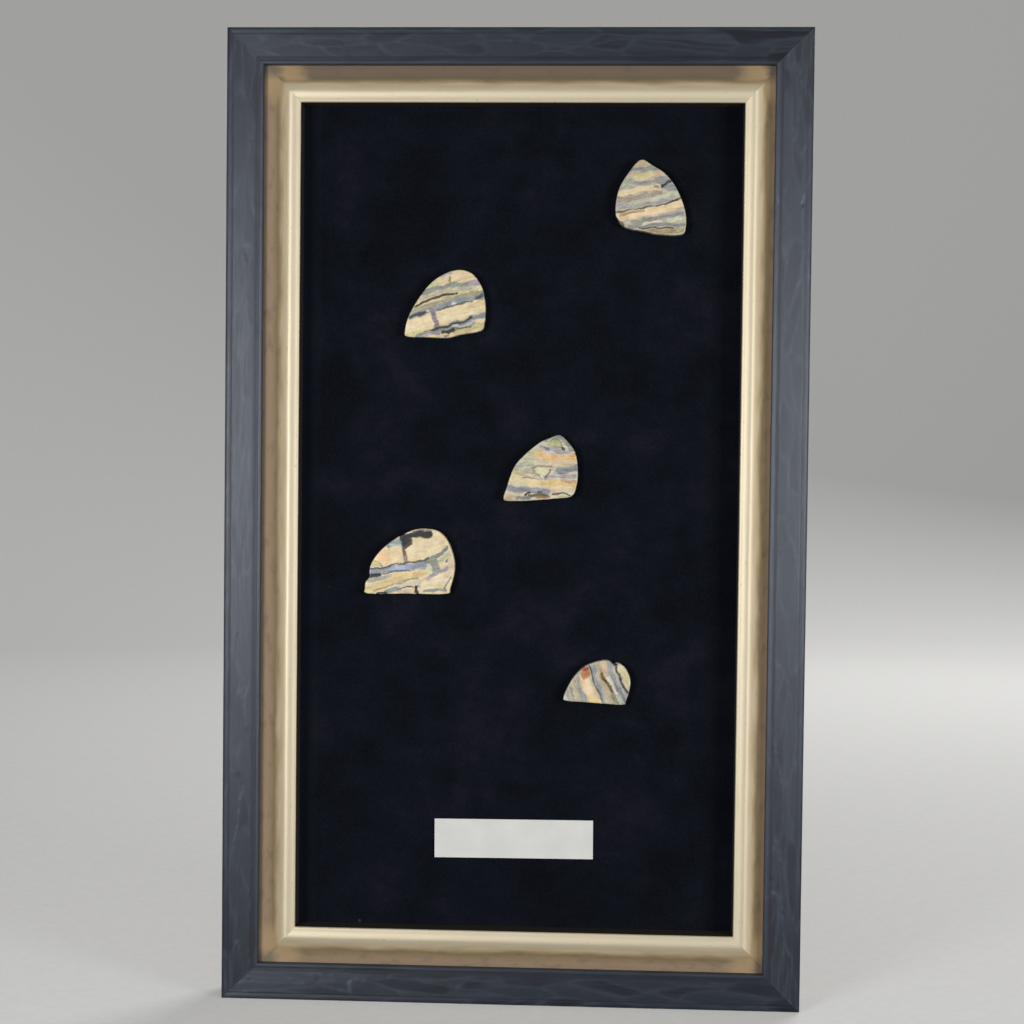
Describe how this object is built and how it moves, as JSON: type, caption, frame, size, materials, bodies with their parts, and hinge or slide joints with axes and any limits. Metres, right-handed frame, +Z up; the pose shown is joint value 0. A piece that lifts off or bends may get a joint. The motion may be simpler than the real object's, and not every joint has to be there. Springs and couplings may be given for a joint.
{
  "type": "framed fossil mammoth tusk slices",
  "caption": "Upright wall frame with polished fossil mammoth tusk slices and a bare label card on dark velvet; charcoal wood moulding with a gold inner slip.",
  "frame": {"origin": "the notch in the middle of the sawtooth hanger, on the wall plane, where the wall's nail bears", "axes": "+Z up, +X to the right seen from the front, the front looks towards -Y and the wall is the plane y = 0"},
  "size_m": [0.266, 0.0265, 0.446],
  "materials": {
    "charcoal_wood": "hand-scraped hardwood stained and waxed dark slate grey, satin",
    "gilded_wood": "champagne leaf over wood, burnished on the crest and rubbed brown on the flat band",
    "velvet": "near-black navy velvet, soft mottled nap",
    "mount_board": "uncoated off-white board, matt",
    "hardboard": "brown pressed fibre board, matt",
    "fossil_ivory": "polished fossil ivory banded cream, tan, grey-blue and near black",
    "card": "smooth white card, matt, left bare",
    "plated_steel": "yellowish zinc plated pressed steel, satin",
    "bumper_rubber": "soft black rubber, matt"
  },
  "bodies": {
    "root": {"outer_rail_top": "charcoal_wood", "outer_rail_right": "charcoal_wood", "outer_rail_bottom": "charcoal_wood", "outer_rail_left": "charcoal_wood", "gold_slip_top": "gilded_wood", "gold_slip_right": "gilded_wood", "gold_slip_bottom": "gilded_wood", "gold_slip_left": "gilded_wood", "velvet_panel": "velvet", "mount_board": "mount_board", "backing_board": "hardboard", "tusk_slice_top_right": "fossil_ivory", "tusk_slice_upper_left": "fossil_ivory", "tusk_slice_centre": "fossil_ivory", "tusk_slice_left": "fossil_ivory", "tusk_slice_lower_right": "fossil_ivory", "label_card": "card", "sawtooth_hanger": "plated_steel", "hanger_nail_left": "plated_steel", "hanger_nail_right": "plated_steel", "wall_bumper_left": "bumper_rubber", "wall_bumper_right": "bumper_rubber", "framers_point_left_upper": "plated_steel", "framers_point_left_lower": "plated_steel", "framers_point_right_upper": "plated_steel", "framers_point_right_lower": "plated_steel", "framers_point_top": "plated_steel", "framers_point_bottom": "plated_steel"}
  },
  "joints": []
}
